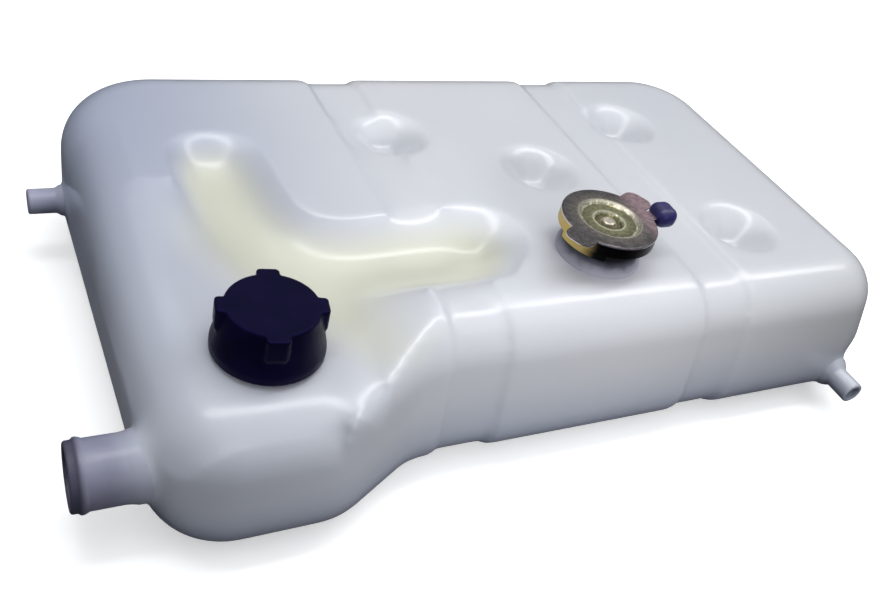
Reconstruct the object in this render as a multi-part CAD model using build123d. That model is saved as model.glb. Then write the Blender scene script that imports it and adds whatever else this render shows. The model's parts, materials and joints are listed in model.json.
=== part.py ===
"""Coolant expansion tank: a blow-moulded tank with a screw filler cap and a bayonet pressure cap."""

import os

from build123d import *

# Tank body, in millimetres. The base stands on z = 0 and +X is the long way.
RIGHT_X = 288
RIGHT_WIDE_Z = 52
RIGHT_TOP_IN = 11
RIGHT_BASE_IN = 16
LEFT_X = -276
LEFT_SLANT = 10
DEPTH = 320
HEIGHT = 110
WALL = 3.5
FRONT_LEAN = 17
SEAM_Z = 68
TOP_R = 36
BASE_R = 30
STEP = 32
STEP_LEFT = 112
STEP_RUN = 56
STEP_R = 46
FRONT_RIGHT_R = 44
BACK_RIGHT_R = 62
BACK_LEFT_R = 66
FRONT_LEFT_R = 46

# Low shelf for the filler neck; along the left side a ramp climbs from it to the top
SHELF_DROP = 20
RAMP_FRONT = 56
RAMP_BACK = 170
RAMP_OUT = 0.6
# Two points of the rim's quarter round, as shares of its radius
RIM_LOW = (0.004, 0.91)
RIM_MIDDLE = (0.293, 0.293)

# Valley that runs from the shelf to the back and to the right, all given on its floor
LOBE_LEFT = 112
LOBE_BACK = 66
LOBE_R = 56
ARM_END = 238
ARM_END_BACK = 98
ARM_CORNER = (106, 92)
ARM_CORNER_R = 50
BACK_ARM = (75, 98)
BACK_ARM_END = 200
CREST_BEND = (76, 125)
CREST_TIP = (88, 80)
CREST_FOOT = (76, 58)
VALLEY_END_R = 10
# Side of the valley from its floor to the top: part of the drop, and run outwards
VALLEY_SIDE = ((-0.1, -4), (0.05, 2), (0.3, 8), (0.7, 13.5), (0.95, 19), (1.06, 27))

# Strap recesses round the tank: middle of each, width and depth
STRAP_X = (-72, 119)
STRAP_WIDTH = 40
STRAP_DEPTH = 3

# Dimples that brace the top, and the one at the end of the valley
DIMPLES = ((-54, 56), (49, 2), (162, 63), (176, -86))
DIMPLE_DEPTH = 20
DIMPLE_R = 28
DIMPLE_FLOOR_R = 8
DIMPLE_LIP_R = 24
DIMPLE_FOOT_R = 8
END_DIMPLE_BACK = 88
END_DIMPLE_DEPTH = 25
END_DIMPLE_R = 30

# Hose stubs; each reach is counted from the tank's left end or from the top's front line
OUTLET_Y = -160
OUTLET_Z = 43
OUTLET_R = 19
OUTLET_BORE_R = 15.5
OUTLET_REACH = 28
OUTLET_BEAD = 1.2
BLEED_Y = 82
BLEED_Z = 45
BLEED_REACH = 22
RETURN_X = 249
RETURN_Z = 27
RETURN_REACH = 36
NIPPLE_R = 8.5
NIPPLE_BORE_R = 5.5
NIPPLE_ROOT_R = 11.5
STUB_ROOT = 14
STUB_CONE = 6
# Bead of a stub: distance from the tip, and share of the bead's height
STUB_BEAD = ((9, 0), (6.5, 1), (5, 1))

# Filler neck and screw cap
FILLER_LEFT = 80.5
FILLER_FRONT = 60
FILLER_NECK_R = 22.5
FILLER_BORE_R = 18.5
FILLER_NECK_H = 25
THREAD_ROOM = 0.7
CAP_BASE_R = 32
CAP_TOP_R = 25
CAP_TOP_H = 32
CAP_FOOT = 2
CAP_LUG_R = 30.5
CAP_LUG_WIDTH = 13
CAP_LUG_TURN = 80
CAP_LUGS = 4
GASKET_T = 2.5

# Pressure neck with its seat and locking flange
PRESSURE_X = 37.5
PRESSURE_FRONT = 59.5
NECK_H = 21
NECK_R = 26
NECK_BORE_R = 22
NECK_ROOT_R = 28.5
SEAT_DEPTH = 19.5
SEAT_R = 15
FLANGE_R = 29.8
FLANGE_TOP = 1.5
FLANGE_T = 3.5

# Pressure cap
COVER_R = 32.8
SHEET = 1.1
EAR_R = 44
EAR_WIDTH = 20
EAR_TURN = 27
LIP = 7.5
RING_R = 21
INNER_RING_R = 10
RING_STEP = 2
RIM_GASKET_T = 1.5
DIAPHRAGM_T = 0.6
DIAPHRAGM_R = 26.5
SKIRT_GAP = 0.7
SKIRT_SWEEP = 64
LUG_SWEEP = 40
LUG_GAP = 0.4
NOTCH_SWEEP = 52
TAB_WIDTH = 9
TAB_R = 46
GRIP_R = 43.5
GRIP_SIZE = (16, 18, 14)
RIVET_R = 3
RIVET_HEAD_R = 5
RIVET_HEAD_H = 2
BELL_R = 16.5
BELL_T = 1
BELL_DEPTH = 13
BELL_LIP = 1.6
PLATE_R = 19.5
PLATE_T = 1.2
COLLAR_R = 13.4
COLLAR_TOP = 3.5
SEAL_T = 2
SEAL_BORE_R = 8.6
SPRING_R = 10.3
SPRING_WIRE_R = 0.8
SPRING_TURNS = 5
VALVE_R = 8
VALVE_T = 1.4
STEM_R = 2.2
STEM_ROOM = 0.4
STEM_HEAD_R = 4.2
STEM_HEAD_T = 1
VALVE_SPRING_R = 3.4
VALVE_SPRING_WIRE_R = 0.3
VALVE_SPRING_H = 5.3
VALVE_SPRING_TURNS = 4

FRONT = -DEPTH / 2
BACK = DEPTH / 2
SHELF_Z = HEIGHT - SHELF_DROP
FILLER_AT = (LEFT_X + FILLER_LEFT, FRONT - STEP + FILLER_FRONT)
PRESSURE_AT = (PRESSURE_X, FRONT + PRESSURE_FRONT)
NECK_TOP = HEIGHT + NECK_H


def rounded(corners):
    """Face from (x, y, radius) corners, each rounded by its own radius."""
    face = make_face(Polyline(*[(x, y) for x, y, _ in corners], close=True))
    for x, y, radius in corners:
        if radius:
            here = [v for v in face.vertices() if abs(v.X - x) + abs(v.Y - y) < 0.001]
            face = fillet(here, radius)
    return face


def turned(points, radii=()):
    """Solid of revolution from (r, z) points; radii gives (r, z, fillet) corners to round."""
    face = make_face(Polyline(*points, close=True))
    for r, z, radius in radii:
        here = [v for v in face.vertices() if abs(v.X - r) + abs(v.Y - z) < 0.001]
        face = fillet(here, radius)
    return revolve(Plane.XZ * face, Axis.Z)


def ring(r_in, r_out, z_low, z_high):
    return turned([(r_in, z_low), (r_out, z_low), (r_out, z_high), (r_in, z_high)])


def sector(r_in, r_out, z_low, z_high, middle, sweep):
    """Piece of a ring, sweep degrees wide, about the angle middle."""
    face = make_face(Polyline((r_in, z_low), (r_out, z_low), (r_out, z_high), (r_in, z_high), close=True))
    return Rot(0, 0, middle - sweep / 2) * revolve(Plane.XZ * face, Axis.Z, sweep)


# Tank body

def outline(z, inset):
    """Plan of the tank at height z; the front leans out to the base, the right end bulges half way up."""
    front = FRONT - FRONT_LEAN * (1 - z / HEIGHT)
    step_front = front - STEP
    if z > RIGHT_WIDE_Z:
        right = RIGHT_X - RIGHT_TOP_IN * (z - RIGHT_WIDE_Z) / (HEIGHT - RIGHT_WIDE_Z)
    else:
        right = RIGHT_X - RIGHT_BASE_IN * (1 - z / RIGHT_WIDE_Z)
    face = rounded([
        (right, front, FRONT_RIGHT_R),
        (right, BACK, BACK_RIGHT_R),
        (LEFT_X, BACK, BACK_LEFT_R),
        (LEFT_X + LEFT_SLANT, step_front, FRONT_LEFT_R),
        (LEFT_X + STEP_LEFT, step_front, STEP_R),
        (LEFT_X + STEP_LEFT + STEP_RUN, front, STEP_R),
    ])
    if inset:
        face = offset(face, -inset, kind=Kind.INTERSECTION)
    return Pos(0, 0, z) * face


def foot(inset):
    """Lower part of the tank, up to where it is widest."""
    body = loft([outline(inset, inset), outline(RIGHT_WIDE_Z, inset)], ruled=True)
    return fillet(body.faces().sort_by(Axis.Z)[0].edges(), BASE_R - inset)


def block(top, inset):
    """Rounded block of the tank's plan from the base up to top, drawn in by inset."""
    body = loft([outline(RIGHT_WIDE_Z, inset), outline(top - inset, inset)], ruled=True)
    return fillet(body.faces().sort_by(Axis.Z)[-1].edges(), TOP_R - inset) + foot(inset)


def ramp(inset):
    """Room above the left side's ramp, with the rim's own rounding along the wall."""
    radius = TOP_R - inset
    sections = []
    for y in (FRONT, BACK / 2):
        rise = (y - FRONT - RAMP_FRONT) / (RAMP_BACK - RAMP_FRONT)
        top = SHELF_Z + rise * SHELF_DROP - inset
        wall = LEFT_X + LEFT_SLANT * (BACK - y) / (DEPTH + STEP) + inset - RAMP_OUT
        low = (wall + RIM_LOW[0] * radius, top - RIM_LOW[1] * radius)
        middle = (wall + RIM_MIDDLE[0] * radius, top - RIM_MIDDLE[1] * radius)
        flat, right, out = (wall + radius, top), LEFT_X + BACK_ARM[1], wall - DEPTH
        section = make_face([
            ThreePointArc(low, middle, flat),
            Polyline(flat, (right, top), (right, 2 * HEIGHT), (out, 2 * HEIGHT), (out, low[1]), low),
        ])
        sections.append(Plane.XZ.offset(-y) * section)
    return loft(sections, ruled=True)


def valley_plan(run):
    """Plan of the shelf and its valley, grown outwards by run."""
    far_left, far_front = LEFT_X - DEPTH, FRONT - DEPTH
    lobe_x, lobe_y = LEFT_X + LOBE_LEFT + run, FRONT + LOBE_BACK - run
    end_r = VALLEY_END_R + 0.9 * run
    tip_y = FRONT + CREST_TIP[1] + 0.5 * run
    foot_y = FRONT + CREST_FOOT[1] + 0.5 * run
    return rounded([
        (far_left, far_front, 0),
        (lobe_x, far_front, 0),
        (lobe_x, lobe_y, LOBE_R - run),
        (LEFT_X + ARM_END + run, lobe_y, end_r),
        (LEFT_X + ARM_END + run, FRONT + ARM_END_BACK + run, end_r),
        (LEFT_X + ARM_CORNER[0] + run, FRONT + ARM_CORNER[1] + run, ARM_CORNER_R - run),
        (LEFT_X + BACK_ARM[1] + run, FRONT + BACK_ARM_END + run, end_r),
        (LEFT_X + BACK_ARM[0] - 0.8 * run, FRONT + BACK_ARM_END + run, end_r),
        (LEFT_X + CREST_BEND[0] - 0.8 * run, FRONT + CREST_BEND[1], LOBE_R),
        (LEFT_X + CREST_TIP[0] - 0.6 * run, tip_y, VALLEY_END_R),
        (LEFT_X + CREST_FOOT[0] - run, foot_y, VALLEY_END_R),
        (far_left, foot_y, 0),
    ])


def valley(inset):
    """Room above the shelf and its valley; its side follows a soft S from floor to top."""
    floor = SHELF_Z - inset
    rings = [Pos(0, 0, floor - TOP_R - WALL) * valley_plan(VALLEY_SIDE[0][1] - 1)]
    for rise, run in VALLEY_SIDE:
        rings.append(Pos(0, 0, floor + rise * SHELF_DROP) * valley_plan(run + 0.8 * inset))
    return loft(rings, ruled=True)


def dimple(x, y, depth, radius, inset):
    """Round dimple with a soft lip, sunk into the top."""
    grow = 0.4 * inset
    low, lip = -depth - inset, radius + grow
    foot = DIMPLE_FLOOR_R + grow
    tool = turned(
        [(0, low), (foot, low), (lip, -inset), (lip + 16, 1.7 - inset), (lip + 16, 12), (0, 12)],
        [(lip, -inset, DIMPLE_LIP_R), (foot, low, DIMPLE_FOOT_R)],
    )
    return Pos(x, y, HEIGHT) * tool


def form(inset):
    """Whole tank form drawn in by inset, with its valley, dimples and strap recesses."""
    room = valley(inset)
    body = (block(HEIGHT, inset) - ramp(inset) - room) + (block(SHELF_Z, inset) & room)
    for x, y in DIMPLES:
        body -= dimple(x, y, DIMPLE_DEPTH, DIMPLE_R, inset)
    body -= dimple(LEFT_X + ARM_END, FRONT + END_DIMPLE_BACK, END_DIMPLE_DEPTH, END_DIMPLE_R, inset)
    core = block(HEIGHT, inset + STRAP_DEPTH)
    for x in STRAP_X:
        body -= Pos(x, 0, 0) * Box(STRAP_WIDTH + 2 * inset, 2 * DEPTH, 4 * HEIGHT) - core
    return body


def stub(root_r, tip_r, length, bead):
    """Hose stub along +Z from inside the wall, with a coned root and a low bead near its tip."""
    points = [(0, -STUB_ROOT), (root_r, -STUB_ROOT), (root_r, 0), (tip_r, STUB_CONE)]
    if bead:
        points += [(tip_r + share * bead, length - back) for back, share in STUB_BEAD]
    return turned(points + [(tip_r, length - 1), (tip_r - 1, length), (0, length)])


def bored(solid, place, radius, length):
    return solid - place * Pos(0, 0, length / 2) * Cylinder(radius, length + 40)


def tank_shell():
    """Hollow tank with its hose stubs, open for the two necks."""
    outlet_wall = LEFT_X + LEFT_SLANT - 1
    outlet = Pos(outlet_wall, OUTLET_Y, OUTLET_Z) * Rot(0, -90, 0)
    bleed_wall = LEFT_X + 2
    bleed = Pos(bleed_wall, BLEED_Y, BLEED_Z) * Rot(0, -90, 0)
    return_wall = FRONT - FRONT_LEAN * (1 - RETURN_Z / HEIGHT) + 2
    back_flow = Pos(RETURN_X, return_wall, RETURN_Z) * Rot(90, 0, 0)
    outlet_length = OUTLET_REACH + outlet_wall - LEFT_X
    bleed_length = BLEED_REACH + bleed_wall - LEFT_X
    return_length = RETURN_REACH + return_wall - FRONT

    body = form(0)
    body += outlet * stub(OUTLET_R + 1.5, OUTLET_R, outlet_length, OUTLET_BEAD)
    body += bleed * stub(NIPPLE_ROOT_R, NIPPLE_R, bleed_length, 0)
    body += back_flow * stub(NIPPLE_ROOT_R + 2, NIPPLE_R, return_length, 0)
    body -= form(WALL)
    body = bored(body, outlet, OUTLET_BORE_R, outlet_length)
    body = bored(body, bleed, NIPPLE_BORE_R, bleed_length)
    body = bored(body, back_flow, NIPPLE_BORE_R, return_length)
    body -= Pos(*FILLER_AT, SHELF_Z) * Cylinder(FILLER_NECK_R, 4 * WALL)
    return body - Pos(*PRESSURE_AT, HEIGHT) * Cylinder(SEAT_R, 4 * WALL)


def filler_neck():
    return turned(
        [(FILLER_BORE_R, -8), (FILLER_NECK_R, -8), (FILLER_NECK_R, 0), (FILLER_NECK_R + 4, 0),
         (FILLER_NECK_R + 4, 0.8), (FILLER_NECK_R, 1.8), (FILLER_NECK_R, FILLER_NECK_H),
         (FILLER_BORE_R, FILLER_NECK_H)],
        [(FILLER_NECK_R, FILLER_NECK_H, 1)],
    )


def pressure_neck():
    """Neck with the seat inside, and two ledges outside that the steel cap hooks under."""
    neck = turned(
        [(SEAT_R, -NECK_H), (NECK_ROOT_R, -NECK_H), (NECK_ROOT_R, 3 - NECK_H), (NECK_R, 6 - NECK_H),
         (NECK_R, 0), (NECK_BORE_R, 0), (NECK_BORE_R, -SEAT_DEPTH), (SEAT_R, -SEAT_DEPTH)]
    )
    ledge_low = -FLANGE_TOP - FLANGE_T
    for side in (0, 180):
        neck += sector(NECK_R - 1, FLANGE_R, ledge_low, -FLANGE_TOP, EAR_TURN + side, 180 - NOTCH_SWEEP)
    return neck


# Screw cap of the filler neck

def filler_cap():
    inner_r = FILLER_NECK_R + THREAD_ROOM
    roof = FILLER_NECK_H + GASKET_T
    shell = turned(
        [(0, roof), (inner_r, roof), (inner_r, CAP_FOOT + 2), (inner_r + 4, CAP_FOOT),
         (CAP_BASE_R, CAP_FOOT), (CAP_BASE_R, CAP_FOOT + 5), (CAP_TOP_R + 1, CAP_TOP_H), (0, CAP_TOP_H)],
        [(CAP_TOP_R + 1, CAP_TOP_H, 1.5), (CAP_BASE_R, CAP_FOOT + 5, 8)],
    )
    lug_low = CAP_FOOT + 12
    lug = Box(CAP_LUG_R, CAP_LUG_WIDTH, CAP_TOP_H - lug_low, align=(Align.MIN, Align.CENTER, Align.MIN))
    lug = fillet(lug.edges().filter_by(Axis.Z).group_by(Axis.X)[-1], 2.5)
    lug = chamfer(lug.faces().sort_by(Axis.Z)[0].edges().sort_by(Axis.X)[-1], 5, 2)
    room = ring(0, inner_r, CAP_FOOT - 1, roof)
    for n in range(CAP_LUGS):
        shell += Rot(0, 0, CAP_LUG_TURN + n * 360 / CAP_LUGS) * Pos(0, 0, lug_low) * lug
    return shell - room


def filler_gasket():
    return ring(FILLER_BORE_R, FILLER_NECK_R, FILLER_NECK_H, FILLER_NECK_H + GASKET_T)


# Pressure cap, with z = 0 on the neck's rim

COVER_Z = RIM_GASKET_T + DIAPHRAGM_T
RIM_Z = COVER_Z + 2 * RING_STEP
SKIRT_R = COVER_R - SHEET
SKIRT_BORE_R = FLANGE_R + SKIRT_GAP
LUG_TOP = -FLANGE_TOP - FLANGE_T - LUG_GAP
PLATE_LOW = SEAL_T - SEAT_DEPTH
PLATE_TOP = PLATE_LOW + PLATE_T
BELL_TOP = RIM_GASKET_T
BELL_ROOF = BELL_TOP - BELL_T
RIVET_BORE_R = RIVET_R + 0.05


def cap_cover():
    disc = turned(
        [(RIVET_BORE_R, COVER_Z), (INNER_RING_R - 1, COVER_Z), (INNER_RING_R + 1, COVER_Z + RING_STEP),
         (RING_R - 1, COVER_Z + RING_STEP), (RING_R + 1, RIM_Z), (SKIRT_R, RIM_Z), (SKIRT_R, RIM_Z - LIP),
         (COVER_R, RIM_Z - LIP), (COVER_R, RIM_Z + SHEET), (RING_R + 0.4, RIM_Z + SHEET),
         (RING_R - 1.6, COVER_Z + RING_STEP + SHEET), (INNER_RING_R + 0.4, COVER_Z + RING_STEP + SHEET),
         (INNER_RING_R - 1.6, COVER_Z + SHEET), (RIVET_BORE_R, COVER_Z + SHEET)],
        [(COVER_R, RIM_Z + SHEET, 0.9)],
    )
    ear = Box(EAR_R, EAR_WIDTH, SHEET, align=(Align.MIN, Align.CENTER, Align.MIN))
    ear = fillet(ear.edges().filter_by(Axis.Z).group_by(Axis.X)[-1], 7)
    tab = Box(TAB_R, TAB_WIDTH, SHEET, align=(Align.MIN, Align.CENTER, Align.MIN))
    tab = fillet(tab.edges().filter_by(Axis.Z).group_by(Axis.X)[-1], 3)
    blank = Pos(0, 0, RIM_Z) * tab
    for side in (0, 180):
        blank += Rot(0, 0, EAR_TURN + side) * Pos(0, 0, RIM_Z) * ear
    return disc + (blank - Pos(0, 0, RIM_Z) * Cylinder(COVER_R - 0.95, 20))


def locking_skirt():
    body = ring(DIAPHRAGM_R + 1, SKIRT_R, RIM_Z - SHEET, RIM_Z)
    for side in (0, 180):
        body += sector(SKIRT_BORE_R, SKIRT_R, LUG_TOP - SHEET, RIM_Z, EAR_TURN + side, SKIRT_SWEEP)
        body += sector(NECK_R + 1, SKIRT_BORE_R + 0.5, LUG_TOP - SHEET, LUG_TOP, EAR_TURN + side, LUG_SWEEP)
    return body


def diaphragm_spring():
    return ring(RIVET_BORE_R, DIAPHRAGM_R, RIM_GASKET_T, COVER_Z)


def rim_gasket():
    return ring(NECK_BORE_R + 0.2, NECK_R - 0.2, 0, RIM_GASKET_T)


def cap_rivet():
    head = COVER_Z + SHEET
    tail = BELL_ROOF
    return turned(
        [(0, tail - 1.2), (RIVET_R + 1.2, tail - 1.2), (RIVET_R + 1.2, tail), (RIVET_R, tail),
         (RIVET_R, head), (RIVET_HEAD_R, head), (RIVET_HEAD_R, head + RIVET_HEAD_H),
         (0, head + RIVET_HEAD_H)],
        [(RIVET_HEAD_R, head + RIVET_HEAD_H, 1.6)],
    )


def spring_bell():
    low = BELL_ROOF - BELL_DEPTH
    body = turned(
        [(RIVET_BORE_R, BELL_ROOF), (BELL_R - BELL_T, BELL_ROOF), (BELL_R - BELL_T, low + BELL_T),
         (BELL_R - BELL_T - BELL_LIP, low + BELL_T), (BELL_R - BELL_T - BELL_LIP, low), (BELL_R, low),
         (BELL_R, BELL_TOP), (RIVET_BORE_R, BELL_TOP)]
    )
    for n in range(3):
        window = sector(BELL_R - 3, BELL_R + 1, low + 3, BELL_ROOF - 2, 120 * n, 60)
        body -= window
    return body


def pressure_plate():
    lip_low = BELL_ROOF - BELL_DEPTH + COLLAR_TOP - 1
    lip_top = lip_low + 1
    lip_r = BELL_R - BELL_T - 0.4
    return turned(
        [(STEM_R + STEM_ROOM, PLATE_LOW), (PLATE_R, PLATE_LOW), (PLATE_R, PLATE_TOP), (COLLAR_R, PLATE_TOP),
         (COLLAR_R, lip_low), (lip_r, lip_low), (lip_r, lip_top), (COLLAR_R - 1, lip_top),
         (COLLAR_R - 1, PLATE_TOP), (STEM_R + STEM_ROOM, PLATE_TOP)]
    )


def main_seal():
    return ring(SEAL_BORE_R, PLATE_R, PLATE_LOW - SEAL_T, PLATE_LOW)


def coil(radius, wire_r, low, high, turns):
    """Coil spring between two flat ends, ground flush at both."""
    pitch = (high - low) / turns
    path = Helix(pitch, high - low, radius)
    wire = sweep((path ^ 0) * Circle(wire_r), path)
    return Pos(0, 0, low) * wire & Pos(0, 0, low) * Cylinder(
        radius + 2 * wire_r, high - low, align=(Align.CENTER, Align.CENTER, Align.MIN)
    )


def main_spring():
    return coil(SPRING_R, SPRING_WIRE_R, PLATE_TOP, BELL_ROOF, SPRING_TURNS)


def vacuum_valve():
    neck = PLATE_TOP + VALVE_SPRING_H
    return turned(
        [(0, PLATE_LOW - VALVE_T), (VALVE_R, PLATE_LOW - VALVE_T), (VALVE_R, PLATE_LOW),
         (STEM_R, PLATE_LOW), (STEM_R, neck), (STEM_HEAD_R, neck), (STEM_HEAD_R, neck + STEM_HEAD_T),
         (0, neck + STEM_HEAD_T)]
    )


def vacuum_spring():
    high = PLATE_TOP + VALVE_SPRING_H
    return coil(VALVE_SPRING_R, VALVE_SPRING_WIRE_R, PLATE_TOP, high, VALVE_SPRING_TURNS)


def thumb_grip():
    body = fillet(Box(*GRIP_SIZE).edges(), 6)
    return Pos(GRIP_R, 0, RIM_Z + SHEET / 2) * body - cap_cover()


FILLER_PLACE = Pos(*FILLER_AT, SHELF_Z)
PRESSURE_PLACE = Pos(*PRESSURE_AT, NECK_TOP)
SHELL = tank_shell()
SEAM = Plane.XY.offset(SEAM_Z)
PARTS = {
    "tank_lower": split(SHELL, SEAM, keep=Keep.BOTTOM),
    "tank_upper": split(SHELL, SEAM, keep=Keep.TOP),
    "filler_neck": FILLER_PLACE * filler_neck(),
    "pressure_neck": PRESSURE_PLACE * pressure_neck(),
    "filler_cap": FILLER_PLACE * filler_cap(),
    "filler_gasket": FILLER_PLACE * filler_gasket(),
    "cap_cover": PRESSURE_PLACE * cap_cover(),
    "locking_skirt": PRESSURE_PLACE * locking_skirt(),
    "diaphragm_spring": PRESSURE_PLACE * diaphragm_spring(),
    "rim_gasket": PRESSURE_PLACE * rim_gasket(),
    "cap_rivet": PRESSURE_PLACE * cap_rivet(),
    "spring_bell": PRESSURE_PLACE * spring_bell(),
    "main_spring": PRESSURE_PLACE * main_spring(),
    "pressure_plate": PRESSURE_PLACE * pressure_plate(),
    "main_seal": PRESSURE_PLACE * main_seal(),
    "vacuum_valve": PRESSURE_PLACE * vacuum_valve(),
    "vacuum_spring": PRESSURE_PLACE * vacuum_spring(),
    "thumb_grip": PRESSURE_PLACE * thumb_grip(),
}

os.makedirs("parts", exist_ok=True)
for name, solid in PARTS.items():
    export_step(solid, f"parts/{name}.step")
    print(name, len(solid.solids()), round(solid.volume), solid.is_valid)
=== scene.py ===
# %% [markdown]
# # A coolant expansion tank
# The tank is one blow-moulded shell of milky plastic with two caps on it: a black screw cap over the
# filler neck, and a plated steel pressure cap that locks on a second neck. The solids come from the CAD
# model and carry every size and every joint. This lesson gives them their looks: a softer skin for the
# tank, moulded edges for the screw cap, and a finish for each material.

import json
import math

import bpy
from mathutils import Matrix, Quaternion, Vector

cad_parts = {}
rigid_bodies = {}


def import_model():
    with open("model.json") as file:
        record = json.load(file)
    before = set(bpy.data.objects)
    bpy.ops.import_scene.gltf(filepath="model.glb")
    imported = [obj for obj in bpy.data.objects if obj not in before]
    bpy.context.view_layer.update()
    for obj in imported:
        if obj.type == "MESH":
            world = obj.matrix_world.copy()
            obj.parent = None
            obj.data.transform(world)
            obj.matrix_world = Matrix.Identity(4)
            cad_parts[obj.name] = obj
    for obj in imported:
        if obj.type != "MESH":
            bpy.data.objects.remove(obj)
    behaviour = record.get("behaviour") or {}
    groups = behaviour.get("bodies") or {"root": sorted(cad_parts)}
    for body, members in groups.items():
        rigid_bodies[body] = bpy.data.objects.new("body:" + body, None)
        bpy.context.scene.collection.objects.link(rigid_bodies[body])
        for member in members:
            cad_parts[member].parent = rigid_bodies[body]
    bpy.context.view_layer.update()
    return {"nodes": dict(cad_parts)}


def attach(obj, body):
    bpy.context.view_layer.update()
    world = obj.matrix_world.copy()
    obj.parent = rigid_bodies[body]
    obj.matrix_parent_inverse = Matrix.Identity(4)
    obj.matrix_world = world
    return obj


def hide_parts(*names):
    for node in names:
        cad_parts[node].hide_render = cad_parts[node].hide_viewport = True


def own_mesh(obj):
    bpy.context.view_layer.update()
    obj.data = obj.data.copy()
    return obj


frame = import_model()
nodes = frame["nodes"]
MM = 0.001

# %% [markdown]
# ## Tools for working by hand
# An operator acts on everything that is selected, and the loaded nodes come in selected. So each step
# starts by selecting one piece alone. Other tools apply the modifiers of a piece in their order, pick some
# of its faces, and take a copy of a CAD node: its triangles are loose, so the copy is merged first.

# %% Tools for working by hand
def only(piece):
    """Leaves one piece selected and active."""
    bpy.ops.object.select_all(action="DESELECT")
    piece.select_set(True)
    bpy.context.view_layer.objects.active = piece


def edit(piece):
    """Opens one piece in edit mode with all of it selected."""
    only(piece)
    bpy.ops.object.mode_set(mode="EDIT")
    bpy.ops.mesh.select_all(action="SELECT")


def settle(piece):
    """Applies the piece's modifiers one after the other."""
    only(piece)
    for modifier in list(piece.modifiers):
        bpy.ops.object.modifier_apply(modifier=modifier.name)


def select_faces(piece, wanted):
    """Opens a piece in edit mode with only the wanted faces selected."""
    edit(piece)
    bpy.ops.mesh.select_mode(type="FACE")
    bpy.ops.mesh.select_all(action="DESELECT")
    bpy.ops.object.mode_set(mode="OBJECT")
    for face in piece.data.polygons:
        face.select = wanted(face)
    bpy.ops.object.mode_set(mode="EDIT")


def merged_copy(name, node):
    """A new piece with the shape of a CAD node, as one closed mesh."""
    piece = bpy.data.objects.new(name, nodes[node].data.copy())
    bpy.context.collection.objects.link(piece)
    edit(piece)
    bpy.ops.mesh.remove_doubles(threshold=0.00001)
    bpy.ops.object.mode_set(mode="OBJECT")
    return piece


# %% [markdown]
# ## The tank's skin
# A blow-moulded tank has no hard edge anywhere: the plastic is blown against the mould as a soft bubble,
# so each dimple, step and strap recess runs into the next face with a blend. The CAD shell has the right
# forms but crisp edges. One could bevel every edge, but the blends cross each other. Here an even grid is
# laid over the shell by a voxel remesh, drawn tight on it by a shrinkwrap, and then smoothed by hand: much
# in the valley, and little on the walls, where the strap recesses keep their creases.
#
# A remesh wants one closed bubble, and the shell is two halves with an inner wall. So each half is opened
# first: the cut at the seam and the bores that tie the inner wall to the outer one are deleted. What still
# hangs together with the outermost point is the outer wall, and the rest goes.

# %% The tank's skin: where stubs and necks sit
OUTLET = Vector((-304, -160, 43)) * MM
BLEED = Vector((-298, 82, 45)) * MM
RETURN = Vector((249, -196, 27)) * MM
FILLER = Vector((-195.5, -132, 90)) * MM
PRESSURE = Vector((37.5, -100.5, 131)) * MM
SEAM = 68 * MM
TO_LEFT = Vector((-1, 0, 0))
TO_FRONT = Vector((0, -1, 0))
UP = Vector((0, 0, 1))
BORES = (
    (OUTLET, TO_LEFT, 15.5, 90),
    (BLEED, TO_LEFT, 5.5, 60),
    (RETURN, TO_FRONT, 5.5, 60),
    (FILLER, UP, 22.5, 40),
    (PRESSURE, UP, 15, 60),
)


def ties_walls(corners):
    """True for a face on the seam's cut or inside a bore."""
    if all(abs(corner.z - SEAM) < 0.02 * MM for corner in corners):
        return True
    for tip, along, radius, depth in BORES:
        ways = [corner - tip for corner in corners]
        if all((way - along * way.dot(along)).length < (radius + 0.1) * MM for way in ways):
            if all(abs(way.dot(along)) < depth * MM for way in ways):
                return True
    return False


print("bores", len(BORES), "seam at", SEAM)

# %% The tank's skin: take the outer wall of each half
def outer_wall(name, node, outermost):
    """A copy of one half with its inner wall removed; outermost finds a point of the outer wall."""
    piece = merged_copy(name, node)
    mesh = piece.data
    select_faces(piece, lambda face: ties_walls([mesh.vertices[n].co for n in face.vertices]))
    bpy.ops.mesh.delete(type="FACE")
    bpy.ops.mesh.select_mode(type="VERT")
    bpy.ops.mesh.select_all(action="DESELECT")
    bpy.ops.object.mode_set(mode="OBJECT")
    outermost(mesh.vertices, key=lambda vertex: vertex.co.z).select = True
    bpy.ops.object.mode_set(mode="EDIT")
    bpy.ops.mesh.select_linked()
    bpy.ops.mesh.select_all(action="INVERT")
    bpy.ops.mesh.delete(type="VERT")
    bpy.ops.object.mode_set(mode="OBJECT")
    print(name, len(mesh.vertices), "points of the outer wall")
    return piece


skin = outer_wall("tank_skin", "tank_lower", min)
upper_half = outer_wall("upper_half", "tank_upper", max)

# %% The tank's skin: join the halves and close the holes
only(skin)
upper_half.select_set(True)
bpy.ops.object.join()
edit(skin)
bpy.ops.mesh.remove_doubles(threshold=0.02 * MM)
bpy.ops.mesh.select_all(action="SELECT")
bpy.ops.mesh.fill_holes(sides=0)
bpy.ops.mesh.select_all(action="SELECT")
bpy.ops.mesh.normals_make_consistent(inside=False)
bpy.ops.object.mode_set(mode="OBJECT")
print("closed skin", len(skin.data.polygons), "faces")

# %% [markdown]
# In the photograph the ridge between the valley and the front wall doesn't end in a corner: it slopes down
# to the shelf and leaves a bright slanting edge. A block turned to that slope cuts the corner off.

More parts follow.
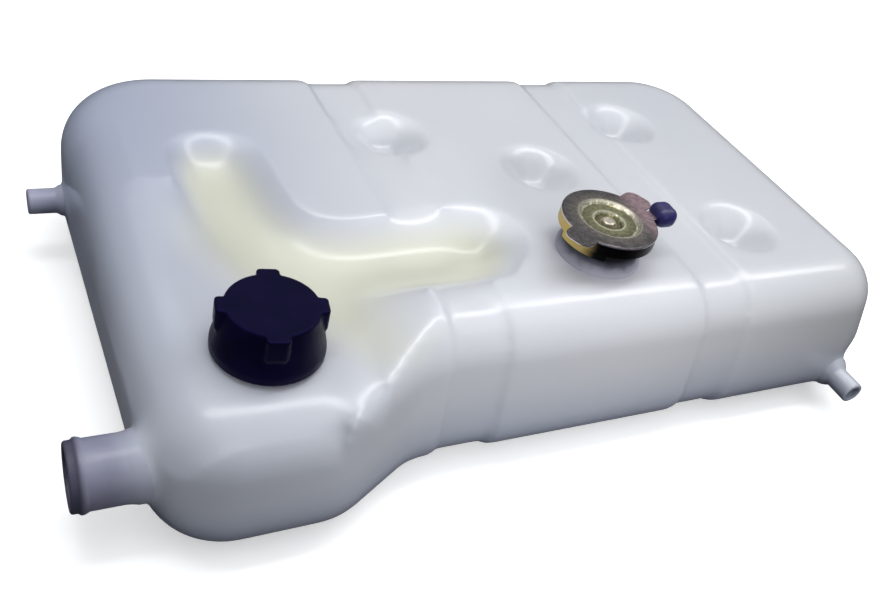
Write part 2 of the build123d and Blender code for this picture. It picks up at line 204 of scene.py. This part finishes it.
# %% The tank's skin: slope the ridge down to the shelf
SLOPE_FOOT = Vector((-153, -162, 90.5)) * MM
SLOPE_HEAD = Vector((-92, -162, 111)) * MM
BLOCK_WIDTH = 135 * MM
BLOCK_HEIGHT = 40 * MM
slope = SLOPE_HEAD - SLOPE_FOOT
upright = Vector((-slope.z, 0, slope.x)).normalized()
bpy.ops.mesh.primitive_cube_add(
    size=1,
    location=(SLOPE_FOOT + SLOPE_HEAD) / 2 + upright * BLOCK_HEIGHT / 2,
    rotation=(0, -math.atan2(slope.z, slope.x), 0),
    scale=(slope.length, BLOCK_WIDTH, BLOCK_HEIGHT),
)
cutter = bpy.context.object
cut = skin.modifiers.new("slope", "BOOLEAN")
cut.object = cutter
cut.operation = "DIFFERENCE"
cut.solver = "EXACT"
settle(skin)
bpy.data.objects.remove(cutter)
print("sloped skin", len(skin.data.polygons), "faces")

# %% The tank's skin: lay an even grid over it
SKIN_GRID = 2.55 * MM
only(skin)
bpy.ops.object.duplicate()
mould = bpy.context.object
remesh = skin.modifiers.new("grid", "REMESH")
remesh.mode = "VOXEL"
remesh.voxel_size = SKIN_GRID
tight = skin.modifiers.new("tight", "SHRINKWRAP")
tight.target = mould
settle(skin)
bpy.data.objects.remove(mould)
print("remeshed", len(skin.data.vertices), "points", len(skin.data.polygons), "faces")

# %% [markdown]
# The smoothing follows a vertex group that says how soft each point gets. One dimple lies beside the valley
# and within its bounds, and keeps its crisp rim as the others do.

# %% The tank's skin: smooth the valley much and the walls little
WALL_SOFTNESS = 0.06
NEAR_DIMPLE = (-54, 56)
DIMPLE_ROOM = 36


def on_stub(point):
    """True on the stubs, which stay as turned."""
    beyond_left = point.x < -278 * MM
    beyond_front = point.y < -182 * MM and point.x > 200 * MM
    return beyond_left or beyond_front


def softness(point):
    """How much a point is smoothed: 1 in the valley, little elsewhere, nothing on the stubs."""
    x, y, z = point / MM
    if on_stub(point):
        return 0.0
    beside_front_wall = y < -136 and x > -141
    in_dimple = math.hypot(x - NEAR_DIMPLE[0], y - NEAR_DIMPLE[1]) < DIMPLE_ROOM
    in_valley = x < -4 and 62 < z < 109.5 and -190 < y < 78
    return 1.0 if in_valley and not beside_front_wall and not in_dimple else WALL_SOFTNESS


def smooth_by(weight, rounds):
    """Smooths the skin for some rounds, each point by its own weight from 0 to 1."""
    for vertex in skin.data.vertices:
        soft.add([vertex.index], weight(vertex.co), "REPLACE")
    ease = skin.modifiers.new("ease", "SMOOTH")
    ease.factor = 0.5
    ease.iterations = rounds
    ease.vertex_group = soft.name
    settle(skin)


soft = skin.vertex_groups.new(name="soft")
smooth_by(softness, 50)
print("smoothed", len(skin.data.vertices), "points")

# %% [markdown]
# Two places are still too crisp: the right end, which the photograph shows as one full round, and the foot
# of the slope where it meets the front wall. They get a longer smoothing of their own.

# %% The tank's skin: rounder right end and foot of the slope
RIGHT_END_FROM = 238 * MM
RIGHT_END_RUN = 22 * MM
ROUND_FOOT = Vector((-158, -166, 80)) * MM
FOOT_REACH = 26 * MM
FOOT_SOFTNESS = 0.3


def rounder(point):
    """How much more a point is smoothed, from 0 to 1."""
    right_end = (point.x - RIGHT_END_FROM) / RIGHT_END_RUN
    foot = FOOT_SOFTNESS * min(1.0, 1.6 - (point - ROUND_FOOT).length / FOOT_REACH)
    return 0.0 if on_stub(point) else max(0.0, min(1.0, max(right_end, foot)))


smooth_by(rounder, 140)
only(skin)
bpy.ops.object.shade_smooth()
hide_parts("tank_lower", "tank_upper")
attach(skin, "tank")
print("skin", len(skin.data.polygons), "faces")

# %% [markdown]
# ## Turned pieces
# The hose stubs and the necks are round. By hand one draws a circle and pulls it out ring by ring, resizing
# each new ring, which is what this tool does along a profile of radius and height in millimetres. A profile
# that ends where it began closes into a tube wall.

# %% Turned pieces: the tool
def turn_up(name, profile, place, along=UP, around=72):
    """A turned piece from (radius, height) pairs, set in place with its axis along a direction."""
    bpy.ops.object.select_all(action="DESELECT")
    first_radius, first_height = profile[0]
    bpy.ops.mesh.primitive_circle_add(
        vertices=around, radius=first_radius * MM, location=(0, 0, first_height * MM)
    )
    piece = bpy.context.object
    piece.name = name
    bpy.ops.object.transform_apply(location=True, rotation=True, scale=True)
    edit(piece)
    for (r_from, z_from), (r_to, z_to) in zip(profile, profile[1:]):
        bpy.ops.mesh.extrude_edges_move(TRANSFORM_OT_translate={"value": (0, 0, (z_to - z_from) * MM)})
        bpy.ops.transform.resize(value=(r_to / r_from, r_to / r_from, 1), center_override=(0, 0, 0))
    bpy.ops.mesh.select_all(action="SELECT")
    bpy.ops.mesh.remove_doubles(threshold=0.000005)
    bpy.ops.mesh.normals_make_consistent(inside=False)
    bpy.ops.object.mode_set(mode="OBJECT")
    piece.location = place
    piece.rotation_euler = along.to_track_quat("Z", "Y").to_euler()
    bpy.ops.object.transform_apply(location=True, rotation=True, scale=True)
    bpy.ops.object.shade_smooth_by_angle(angle=math.radians(40))
    return piece


# %% [markdown]
# ## Hose stubs
# The big outlet carries a low bead near its tip that keeps the hose from sliding off, and its end is left
# open. The two small nipples are plain. Each stub is a tube whose root stands inside the skin. The skin's
# own rough stubs are cut off with a boolean, and a bore is cut behind each tube, so that one looks into a
# dark hole as on the real tank.

# %% Hose stubs
OUTLET_TUBE = [
    (15.5, -52), (20.4, -52), (20.4, -34), (19.4, -30), (19.1, -27), (19.1, -9.4), (19.6, -8.4), (20.2, -6.9),
    (20.3, -6), (20.2, -5.1), (19.6, -4.4), (19.1, -3.8), (19.05, -1.2), (18.7, -0.4), (18.0, 0), (16.6, 0),
    (15.8, -0.4), (15.5, -1.2), (15.5, -52),
]
NIPPLE_TIP = [
    (8.6, -1.2), (8.3, -0.4), (7.6, 0), (6.3, 0), (5.7, -0.4), (5.5, -1.2), (5.5, -40),
]
BLEED_TUBE = [
    (5.5, -40), (11.4, -40), (11.4, -24), (10.4, -20.5), (8.9, -18.2), (8.6, -17), *NIPPLE_TIP,
]
RETURN_TUBE = [
    (5.5, -40), (13.4, -40), (13.4, -25), (11.5, -21.8), (9.2, -19.2), (8.6, -17.6), *NIPPLE_TIP,
]
outlet = turn_up("outlet_stub", OUTLET_TUBE, OUTLET, TO_LEFT)
bleed = turn_up("bleed_stub", BLEED_TUBE, BLEED, TO_LEFT, 48)
back_flow = turn_up("return_stub", RETURN_TUBE, RETURN, TO_FRONT, 48)
print("stubs", [len(stub.data.polygons) for stub in (outlet, bleed, back_flow)])

# %% Hose stubs and necks: open the skin behind them
def drill_out(holes):
    """Cuts round holes, each a (tip, direction, radius, depth), out of the skin."""
    drills = []
    for tip, along, radius, depth in holes:
        turn = along.to_track_quat("Z", "Y").to_euler()
        bpy.ops.mesh.primitive_cylinder_add(
            vertices=48, radius=radius * MM, depth=2 * depth * MM, location=tip, rotation=turn
        )
        drills.append(bpy.context.object)
    only(drills[0])
    for drill in drills:
        drill.select_set(True)
    bpy.ops.object.join()
    drill = bpy.context.object
    bore = skin.modifiers.new("bore", "BOOLEAN")
    bore.object = drill
    bore.operation = "DIFFERENCE"
    bore.solver = "EXACT"
    settle(skin)
    bpy.data.objects.remove(drill)


BORE_ROOM = 1.6
ROUGH_STUBS = [(OUTLET, TO_LEFT, 23, 25), (BLEED, TO_LEFT, 12, 17), (RETURN, TO_FRONT, 13, 17)]
drill_out(ROUGH_STUBS)
drill_out([(tip, along, radius + BORE_ROOM, depth) for tip, along, radius, depth in BORES])
only(skin)
bpy.ops.object.shade_smooth()
for stub in (outlet, bleed, back_flow):
    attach(stub, "tank")
print("skin with bores", len(skin.data.polygons), "faces")

# %% [markdown]
# ## Necks
# The filler neck stands on the low shelf under the screw cap, and shows when the cap is unscrewed. Its
# thread is a thin ridge that winds up the neck: a small circle, a Screw modifier, one turn for each 4 mm.
# The pressure neck is a thicker tube with two cam ledges that the steel cap hooks under.

# %% Necks: filler neck
FILLER_TUBE = [
    (18.5, -20), (26.6, -20), (26.6, 0.6), (26.0, 1.1), (23.4, 1.7), (22.6, 2.6), (22.6, 24), (22.3, 24.7),
    (21.6, 25), (19.3, 25), (18.7, 24.7), (18.5, 24), (18.5, -20),
]
filler_tube = turn_up("filler_tube", FILLER_TUBE, FILLER)
print("filler neck", len(filler_tube.data.polygons), "faces")

# %% Necks: wind the thread up the filler neck
THREAD_START = Vector((22.25, 0, 8)) * MM
THREAD_RADIUS = 0.75 * MM
THREAD_PITCH = 4 * MM
THREAD_TURNS = 2.5
bpy.ops.object.select_all(action="DESELECT")
bpy.ops.mesh.primitive_circle_add(
    vertices=10, radius=THREAD_RADIUS, rotation=(math.pi / 2, 0, 0), location=THREAD_START
)
thread = bpy.context.object
thread.name = "filler_thread"
bpy.ops.object.transform_apply(location=True, rotation=True, scale=True)
wind = thread.modifiers.new("wind", "SCREW")
wind.axis = "Z"
wind.angle = math.radians(360 * THREAD_TURNS)
wind.screw_offset = THREAD_PITCH * THREAD_TURNS
wind.steps = 180
wind.render_steps = 180
settle(thread)
edit(thread)
bpy.ops.mesh.edge_face_add()
bpy.ops.mesh.select_all(action="SELECT")
bpy.ops.mesh.normals_make_consistent(inside=False)
bpy.ops.object.mode_set(mode="OBJECT")
thread.location = FILLER
bpy.ops.object.transform_apply(location=True, rotation=True, scale=True)
bpy.ops.object.shade_smooth()
print("thread", len(thread.data.polygons), "faces")

# %% Necks: pressure neck and its cam ledges
PRESSURE_TUBE = [
    (15, -40), (29, -40), (29, -18.2), (28.6, -17.4), (26.7, -15.4), (26.1, -14.4), (26.1, -0.8),
    (25.8, -0.2), (25.2, 0), (22.7, 0), (22.2, -0.2), (22, -0.8), (22, -19.5), (15, -19.5), (15, -40),
]
CAM_RING = [
    (25, -5), (29.3, -5), (29.8, -4.5), (29.8, -2), (29.3, -1.5), (25, -1.5), (25, -5),
]
CAM_MIDDLE = 27
CAM_SWEEP = 128
pressure_tube = turn_up("pressure_tube", PRESSURE_TUBE, PRESSURE)
cams = turn_up("neck_cams", CAM_RING, PRESSURE, around=120)


def in_notch(face):
    """True for a face of the ring between the two ledges."""
    way = face.center - PRESSURE
    off = (math.degrees(math.atan2(way.y, way.x)) - CAM_MIDDLE + 90) % 180 - 90
    return abs(off) > CAM_SWEEP / 2


select_faces(cams, in_notch)
bpy.ops.mesh.delete(type="FACE")
bpy.ops.mesh.select_all(action="SELECT")
bpy.ops.mesh.fill_holes(sides=0)
bpy.ops.mesh.select_all(action="SELECT")
bpy.ops.mesh.normals_make_consistent(inside=False)
bpy.ops.object.mode_set(mode="OBJECT")
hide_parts("filler_neck")
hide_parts("pressure_neck")
for piece in (filler_tube, thread, pressure_tube, cams):
    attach(piece, "tank")
print("cams", len(cams.data.polygons), "faces")

# %% [markdown]
# ## The screw cap
# The black cap is moulded too: a flat top disc, four grip lugs and a skirt that widens to its foot. Its CAD
# solid has the sizes right. A fine remesh and a short smoothing give each edge the small radius that a
# mould leaves, also where lug and skirt meet, which a bevel would not manage cleanly.

# %% The screw cap
CAP_GRID = 0.55 * MM
cap = merged_copy("screw_cap_moulding", "filler_cap")
fine = cap.modifiers.new("fine", "REMESH")
fine.mode = "VOXEL"
fine.voxel_size = CAP_GRID
ease = cap.modifiers.new("ease", "SMOOTH")
ease.factor = 0.5
ease.iterations = 8
settle(cap)
bpy.ops.object.shade_smooth()
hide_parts("filler_cap")
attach(cap, "screw_cap")
print("screw cap", len(cap.data.polygons), "faces")

# %% [markdown]
# ## Springs
# Each spring is a smooth-shaded copy of its CAD coil, with a mesh of its own, set on the body of its valve.

# %% Springs
def giving_spring(name, node, body):
    """A smooth-shaded copy of a CAD coil, with a mesh of its own, set on a body."""
    coil = merged_copy(name, node)
    bpy.ops.object.shade_smooth()
    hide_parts(node)
    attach(coil, body)
    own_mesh(coil)
    return coil


main_coil = giving_spring(
    "main_coil", "main_spring", "pressure_cap"
)
vacuum_coil = giving_spring(
    "vacuum_coil", "vacuum_spring", "pressure_valve"
)
print("springs", [len(coil.data.polygons) for coil in (main_coil, vacuum_coil)])

# %% [markdown]
# ## Finishes
# Every finish is made of nodes that read Object coordinates, so that a pattern stays on its piece from any
# side. A small tool adds one node: plain numbers set its sockets, and an output of another node feeds them.
# Most sockets go by their name. The inputs of a Math or a Mix node share names, so those go by their number.

# %% Finishes: tools that add nodes
def add(finish, kind, props=(), **sockets):
    """Adds one node. A socket is its name with underscores for spaces, or n and its number."""
    node = finish.node_tree.nodes.new("ShaderNode" + kind)
    for prop, value in dict(props).items():
        setattr(node, prop, value)
    for name, value in sockets.items():
        set_socket(finish, node, name, value)
    return node


def set_socket(finish, node, name, value):
    """Sets one socket of a node to a value, or feeds it from another node's output."""
    by_number = name[0] == "n" and name[1:].isdigit()
    socket = node.inputs[int(name[1:]) if by_number else name.replace("_", " ")]
    if isinstance(value, bpy.types.NodeSocket):
        finish.node_tree.links.new(value, socket)
    else:
        socket.default_value = value


def feed(finish, shader, **sockets):
    """Sets or feeds sockets of the shader."""
    for name, value in sockets.items():
        set_socket(finish, shader, name, value)


# %% Finishes: tools that start a finish and put it on
def new_finish(name):
    """An empty finish with its shader and its Object coordinates, ready for nodes."""
    finish = bpy.data.materials.new(name)
    finish.use_nodes = True
    coords = add(finish, "TexCoord").outputs["Object"]
    return finish, finish.node_tree.nodes["Principled BSDF"], coords


def put_on(finish, *pieces):
    """Puts a finish on new pieces, in place of what their meshes had."""
    for piece in pieces:
        piece.data.materials.clear()
        piece.data.materials.append(finish)


def put_on_nodes(finish, *names):
    """Puts a finish on CAD nodes, by the nodes' names."""
    for name in names:
        nodes[name].material_slots[0].material = finish


# %% Finishes: tools for colours and patterns
def ramp(finish, fac, *stops):
    """A colour ramp through (position, colour) stops."""
    node = add(finish, "ValToRGB", Fac=fac)
    band = node.color_ramp
    while len(band.elements) < len(stops):
        band.elements.new(0.5)
    for element, (position, colour) in zip(band.elements, stops):
        element.position = position
        element.color = (*colour, 1)
    return node.outputs["Color"]


def mix(finish, share, first, second):
    """A colour between two others, by a share from 0 to 1."""
    return add(finish, "Mix", {"data_type": "RGBA"}, n0=share, n6=first, n7=second).outputs[2]


def calc(finish, operation, *values):
    """One step of arithmetic on values."""
    numbered = {f"n{place}": value for place, value in enumerate(values)}
    return add(finish, "Math", {"operation": operation}, **numbered).outputs["Value"]


def parts(finish, vector):
    """The X, Y and Z of a vector."""
    return add(finish, "SeparateXYZ", Vector=vector).outputs


def noise(finish, coords, scale, detail=3, rough=0.5):
    """Noise on the given coordinates."""
    node = add(finish, "TexNoise", Vector=coords, Scale=scale, Detail=detail, Roughness=rough)
    return node.outputs["Fac"]


def spread(finish, value, low, high, to_low, to_high):
    """Maps a value from one range to another and holds it there."""
    node = add(
        finish, "MapRange", {"interpolation_type": "SMOOTHSTEP"},
        Value=value, From_Min=low, From_Max=high, To_Min=to_low, To_Max=to_high,
    )
    return node.outputs["Result"]


def relief(finish, height, strength, distance):
    """A bump from a height."""
    return add(finish, "Bump", Height=height, Strength=strength, Distance=distance).outputs["Normal"]


print("tools for finishes ready")

# %% [markdown]
# ## Milky plastic
# Natural polypropylene lets light in and scatters it, so the tank glows a little from inside. Subsurface
# scattering does that, and a clear coat adds the gloss of the mould. The tone drifts in soft clouds, as the
# wall's thickness does. Painted shade makes it darker and bluer towards the base and the back left corner,
# and it is yellowish in the valley, where the wall is drawn thin. The valley is found by its height and by
# flat bounds around it: each one compares a point's reach along a direction with a limit. A fine
# orange-peel relief breaks up the gloss.

# %% Milky plastic: clouds, and painted shade towards the base and the back left corner
SHADE_BLUE = (0.23, 0.27, 0.40, 1)
milky, shader, coords = new_finish("milky_plastic")
clouds = noise(milky, coords, 6, 1, 0.4)
tone = ramp(milky, clouds, (0.1, (0.52, 0.54, 0.585)), (0.9, (0.58, 0.59, 0.61)))
axes = parts(milky, coords)
# Painted shade: the tone turns darker and bluer towards the base and the back left corner.
base_shade = spread(milky, axes["Z"], 0.0, 0.075, 0.75, 0)
far_left = spread(milky, axes["X"], -0.05, -0.27, 0, 0.7)
to_back = spread(milky, axes["Y"], -0.20, 0.12, 0.45, 1)
corner = calc(milky, "MULTIPLY", far_left, to_back)
painted_shade = calc(milky, "MAXIMUM", base_shade, corner)
tone = mix(milky, painted_shade, tone, SHADE_BLUE)
print("clouds on", len(milky.node_tree.nodes), "nodes")

# %% Milky plastic: yellow tint in the valley
THIN_YELLOW = (0.56, 0.565, 0.475, 1)
VALLEY_BOUNDS = (
    ((0.8, 0.6, 0), -0.225, -0.185),
    ((-0.5, 1, 0), -0.110, -0.090),
    ((1, 0, 0), -0.245, -0.222),
    ((1, 1, 0), -0.03, -0.06),
    ((0, 1, 0), 0.10, 0.08),
    ((0, 0, 1), 0.072, 0.080),
)
thin = spread(milky, axes["Z"], 0.1085, 0.090, 0, 1)
for way, outer, inner in VALLEY_BOUNDS:
    reach = add(milky, "VectorMath", {"operation": "DOT_PRODUCT"}, n0=coords, n1=way).outputs["Value"]
    thin = calc(milky, "MULTIPLY", thin, spread(milky, reach, outer, inner, 0, 1))
tone = mix(milky, thin, tone, THIN_YELLOW)
print("valley tint within", len(VALLEY_BOUNDS), "bounds")

# %% Milky plastic: gloss and glow
sheen_drift = spread(milky, noise(milky, coords, 30, 2), 0.3, 0.7, 0.30, 0.40)
peel = relief(milky, noise(milky, coords, 330, 2), 0.04, 0.0003)
feed(milky, shader, Base_Color=tone, Roughness=sheen_drift, Normal=peel, IOR=1.49)
feed(milky, shader, Subsurface_Weight=0.2, Subsurface_Radius=(1.0, 0.95, 0.85), Subsurface_Scale=0.010)
feed(milky, shader, Coat_Weight=0.5, Coat_Roughness=0.17, Coat_IOR=1.5)
put_on(milky, skin, back_flow, filler_tube, thread)
print("milky plastic on", len(milky.node_tree.nodes), "nodes")

# %% [markdown]
# ## Grey plastic of the left stubs and the pressure neck
# The two stubs on the left have thick walls. Painted shade makes them darker and bluer than the tank:
# paler at the root and on the back stub, darkest at the open tip. The pressure neck is darker still: painted
# shade under the steel cap turns it from grey at its foot to black at its rim.

# %% Grey plastic of the left stubs
BACK_STUB_GREY = (0.36, 0.37, 0.49, 1)
ROOT_GREY = (0.36, 0.38, 0.46, 1)
TIP_SHADE = (0.07, 0.07, 0.11, 1)
stub_shade, shader, coords = new_finish("shaded_stub_plastic")
# Painted shade: this whole finish is darker than the tank, and darkest at the open tip.
tone = ramp(stub_shade, noise(stub_shade, coords, 40, 2), (0.2, (0.20, 0.205, 0.29)), (0.8, (0.27, 0.275, 0.36)))
axes = parts(stub_shade, coords)
tone = mix(stub_shade, spread(stub_shade, axes["Y"], -0.12, 0.06, 0, 1), tone, BACK_STUB_GREY)
tone = mix(stub_shade, spread(stub_shade, axes["X"], -0.286, -0.266, 0, 1), tone, ROOT_GREY)
tone = mix(stub_shade, spread(stub_shade, axes["X"], -0.2955, -0.300, 0, 1), tone, TIP_SHADE)
wear = spread(stub_shade, noise(stub_shade, coords, 120, 3), 0.3, 0.7, 0.28, 0.42)
feed(stub_shade, shader, Base_Color=tone, Roughness=wear, Subsurface_Weight=0.1, Subsurface_Scale=0.006)
put_on(stub_shade, outlet, bleed)
print("left stubs done")

# %% Grey plastic of the pressure neck
neck_shade, shader, coords = new_finish("shaded_neck_plastic")
# Painted shade under the steel cap: grey at the neck's foot, black at its rim.
uneven_height = calc(neck_shade, "MULTIPLY_ADD", noise(neck_shade, coords, 120, 3), 0.004, parts(neck_shade, coords)["Z"])
shade = spread(neck_shade, uneven_height, 0.114, 0.126, 0, 1)
tone = ramp(
    neck_shade, shade, (0.0, (0.32, 0.32, 0.38)), (0.4, (0.09, 0.09, 0.12)), (1.0, (0.004, 0.004, 0.006))
)
feed(neck_shade, shader, Base_Color=tone, Roughness=0.5, Specular_IOR_Level=0.2)
put_on(neck_shade, pressure_tube, cams)
print("pressure neck done")

# %% [markdown]
# ## Black cap plastic
# The cap is black with a blue cast and a fine spark-eroded grain that softens its shine. Scuffs from hands
# and hoses make some places a little smoother.

# %% Black cap plastic
black, shader, coords = new_finish("cap_black_plastic")
tone = ramp(black, noise(black, coords, 60, 4), (0.3, (0.002, 0.002, 0.011)), (0.7, (0.004, 0.003, 0.020)))
grain = noise(black, coords, 1600, 2)
scuffs = spread(black, noise(black, coords, 90, 5, 0.7), 0.35, 0.7, 0.46, 0.30)
feed(black, shader, Base_Color=tone, Roughness=scuffs, Normal=relief(black, grain, 0.12, 0.0002))
feed(black, shader, IOR=1.45, Specular_IOR_Level=0.13, Specular_Tint=(0.18, 0.16, 1.0, 1))
put_on(black, cap)
print("black cap plastic done")

# %% [markdown]
# ## Plated steel of the pressure cap
# The pressed parts are zinc plated and passivated, which leaves an uneven film. On this cap it lies in
# rings of olive and dark grey, and two cream rings on the steps are painted highlights. So the distance from
# the cap's axis drives a many-coloured ramp, with a little noise to break up the rings. The film turns pink
# by the grip, the top's edge carries a painted highlight, and the lip below it carries painted shade, with
# gold at the left. It is a metal, so most of its look is what it reflects.

# %% Plated steel: rings of film, with painted highlights
plated, shader, coords = new_finish("plated_steel")
from_axis = add(plated, "VectorMath", {"operation": "SUBTRACT"}, n0=coords, n1=PRESSURE).outputs["Vector"]
flat = add(plated, "VectorMath", {"operation": "MULTIPLY"}, n0=from_axis, n1=(1, 1, 0)).outputs["Vector"]
radius = add(plated, "VectorMath", {"operation": "LENGTH"}, n0=flat).outputs["Value"]
speckle = noise(plated, coords, 300, 4, 0.6)
uneven_radius = calc(plated, "MULTIPLY_ADD", speckle, 0.003, radius)
# The cream stops at 0.26 and 0.66 are painted highlights on the ring steps.
film_and_painted_light = ramp(
    plated, spread(plated, uneven_radius, 0.0, 0.036, 0, 1),
    (0.05, (0.60, 0.56, 0.46)), (0.12, (0.16, 0.14, 0.08)), (0.20, (0.20, 0.19, 0.10)),
    (0.26, (0.74, 0.70, 0.54)), (0.32, (0.26, 0.26, 0.15)), (0.56, (0.17, 0.16, 0.10)),
    (0.66, (0.80, 0.76, 0.60)), (0.74, (0.20, 0.18, 0.16)), (0.95, (0.12, 0.11, 0.11)),
)
print("rings of film on", len(plated.node_tree.nodes), "nodes")

# %% Plated steel: pink by the grip, and dirt
GRIP_PINK = (0.50, 0.35, 0.38, 1)
axes = parts(plated, from_axis)
film_and_painted_light = mix(plated, spread(plated, axes["X"], 0.016, 0.030, 0, 0.7), film_and_painted_light, GRIP_PINK)
dirt = spread(plated, speckle, 0.40, 0.65, 0.75, 1.5)
film_and_painted_light = add(plated, "VectorMath", {"operation": "SCALE"}, n0=film_and_painted_light, Scale=dirt).outputs["Vector"]
print("dirty film on", len(plated.node_tree.nodes), "nodes")

# %% Plated steel: painted highlight on the edge, painted shade on the lip
EDGE_HIGHLIGHT = (0.92, 0.82, 0.88, 1)
LIP_SHADE = (0.012, 0.011, 0.012, 1)
GOLD_LIP = (0.62, 0.46, 0.16, 1)
# Painted highlight along the top's edge, and painted shade on the lip below it, with gold at the left.
below = spread(plated, axes["Z"], 0.0062, 0.0056, 0, 1)
on_top = spread(plated, axes["Z"], 0.0066, 0.0070, 0, 1)
at_edge = spread(plated, radius, 0.0306, 0.0311, 0, 1)
lip = mix(plated, spread(plated, axes["X"], -0.022, -0.029, 0, 1), LIP_SHADE, GOLD_LIP)
edge = mix(plated, below, EDGE_HIGHLIGHT, lip)
edge = mix(plated, on_top, edge, film_and_painted_light)
film_and_painted_light = mix(plated, at_edge, film_and_painted_light, edge)
dull = spread(plated, speckle, 0.3, 0.7, 0.5, 0.3)
dents = relief(plated, noise(plated, coords, 260, 3), 0.25, 0.0004)
feed(plated, shader, Base_Color=film_and_painted_light, Roughness=dull, Normal=dents, Metallic=1.0)
put_on_nodes(plated, "cap_cover", "locking_skirt", "cap_rivet")
print("plated steel done")

# %% [markdown]
# ## Steel, brass, rubber and the blue grip
# Inside the pressure cap are bright spring steel, turned brass valves and black sealing rubber. They are
# seen only when the cap comes off, but each has its own finish. The blue grip is smooth moulded plastic.

# %% Spring steel
steel, shader, coords = new_finish("spring_steel")
tone = ramp(steel, noise(steel, coords, 200, 4), (0.3, (0.42, 0.43, 0.45)), (0.7, (0.58, 0.59, 0.60)))
drawn = spread(steel, noise(steel, coords, 700, 3), 0.3, 0.7, 0.29, 0.40)
feed(steel, shader, Base_Color=tone, Roughness=drawn, Metallic=1.0)
put_on_nodes(steel, "diaphragm_spring", "spring_bell")
put_on(steel, main_coil, vacuum_coil)
print("spring steel done")

# %% Turned brass
brass, shader, coords = new_finish("turned_brass")
tone = ramp(brass, noise(brass, coords, 150, 4), (0.3, (0.52, 0.38, 0.16)), (0.7, (0.72, 0.56, 0.28)))
worn = spread(brass, noise(brass, coords, 600, 3), 0.3, 0.7, 0.29, 0.40)
feed(brass, shader, Base_Color=tone, Roughness=worn, Metallic=1.0)
put_on_nodes(brass, "pressure_plate", "vacuum_valve")
print("turned brass done")

# %% Sealing rubber
rubber, shader, coords = new_finish("sealing_rubber")
tone = ramp(rubber, noise(rubber, coords, 120, 3), (0.3, (0.012, 0.012, 0.012)), (0.7, (0.03, 0.03, 0.03)))
bloom = spread(rubber, noise(rubber, coords, 300, 3), 0.3, 0.7, 0.6, 0.8)
grain = relief(rubber, noise(rubber, coords, 900), 0.1, 0.0002)
feed(rubber, shader, Base_Color=tone, Roughness=bloom, Normal=grain)
put_on_nodes(rubber, "filler_gasket", "rim_gasket", "main_seal")
print("sealing rubber done")

# %% Blue grip plastic
navy, shader, coords = new_finish("blue_grip_plastic")
tone = ramp(navy, noise(navy, coords, 110, 3), (0.3, (0.010, 0.009, 0.055)), (0.7, (0.024, 0.022, 0.12)))
handled = spread(navy, noise(navy, coords, 260, 3), 0.3, 0.7, 0.3, 0.45)
grain = relief(navy, noise(navy, coords, 900), 0.06, 0.0002)
feed(navy, shader, Base_Color=tone, Roughness=handled, Normal=grain)
put_on_nodes(navy, "thumb_grip")
print("blue grip plastic done")

# %% [markdown]
# ## Floor, light and camera
# The tank stands on a plain pale floor. The floor glows a little, so that it stays near white, and is kept
# out of the bounced and mirrored light, so that the tank's lower edges stay dark. A long tube light overhead
# draws the bright streaks on the rims and the dimples, and a ceiling panel lights the top softly. Two weak
# fills lift the front and the left end and aren't seen in reflections. The room is a dim sky, darker towards
# the ground. The camera stands in front of the left end, above the tank, and is held a little askew, as in
# the photograph.

# %% Floor
FLOOR_SIZE = 8
FLOOR_GAP = 0.4 * MM
bpy.ops.object.select_all(action="DESELECT")
bpy.ops.mesh.primitive_plane_add(size=FLOOR_SIZE, location=(0, 0, -FLOOR_GAP))
floor = bpy.context.object
floor.name = "floor"
pale, shader, coords = new_finish("pale_floor")
tone = ramp(pale, noise(pale, coords, 2, 2), (0.3, (0.90, 0.90, 0.90)), (0.7, (0.93, 0.93, 0.93)))
feed(pale, shader, Base_Color=tone, Roughness=0.9, Emission_Color=(1, 1, 1, 1), Emission_Strength=0.4)
put_on(pale, floor)
floor.visible_diffuse = False
floor.visible_glossy = False
print("floor", floor.dimensions[:])

# %% Light
def panel(name, place, aim, width, depth, power):
    """A soft light panel that faces a point."""
    bpy.ops.object.light_add(type="AREA", location=place)
    lamp = bpy.context.object
    lamp.name = name
    lamp.data.shape = "RECTANGLE"
    lamp.data.size = width
    lamp.data.size_y = depth
    lamp.data.energy = power
    lamp.rotation_euler = (Vector(aim) - Vector(place)).to_track_quat("-Z", "Y").to_euler()
    return lamp


panel("tube_light", (0.5, 0.05, 1.3), (0.5, 0.05, 0), width=2.3, depth=0.24, power=11)
panel("ceiling_panel", (0.1, 0, 1.4), (0, 0, 0), width=2.2, depth=2.2, power=13)
front_fill = panel("front_fill", (0.10, -1.1, 0.4), (0.0, -0.16, 0.09), width=0.4, depth=0.3, power=0.34)
front_fill.data.spread = math.radians(34)
left_fill = panel("left_fill", (-1.3, 0.2, 0.5), (-0.27, 0, 0.06), width=0.6, depth=0.6, power=3.0)
for fill in (front_fill, left_fill):
    fill.visible_glossy = False

# %% Room around the tank
sky = bpy.data.worlds.new("room")
bpy.context.scene.world = sky
sky.use_nodes = True
backdrop = sky.node_tree.nodes["Background"]
way = add(sky, "TexCoord").outputs["Generated"]
room_light = ramp(sky, parts(sky, way)["Z"], (0.0, (0.10, 0.10, 0.11)), (0.25, (0.90, 0.94, 1.0)))
feed(sky, backdrop, Color=room_light, Strength=0.3)
bpy.context.scene.view_settings.view_transform = "Standard"
print("room", sky.name, "on", len(sky.node_tree.nodes), "nodes")

# %% Camera
STAND = Vector((-0.3339, -0.4911, 0.4473))
AIM = Vector((-0.0623, -0.0950, 0.0700))
TILT = 16.37
LENS = 37.61
bpy.ops.object.camera_add(location=STAND)
camera = bpy.context.object
level = (AIM - STAND).to_track_quat("-Z", "Y")
camera.rotation_euler = (level @ Quaternion((0, 0, 1), math.radians(TILT))).to_euler()
camera.data.sensor_width = 36
camera.data.lens = LENS
bpy.context.scene.camera = camera
print("camera", camera.location[:], "lens", camera.data.lens)
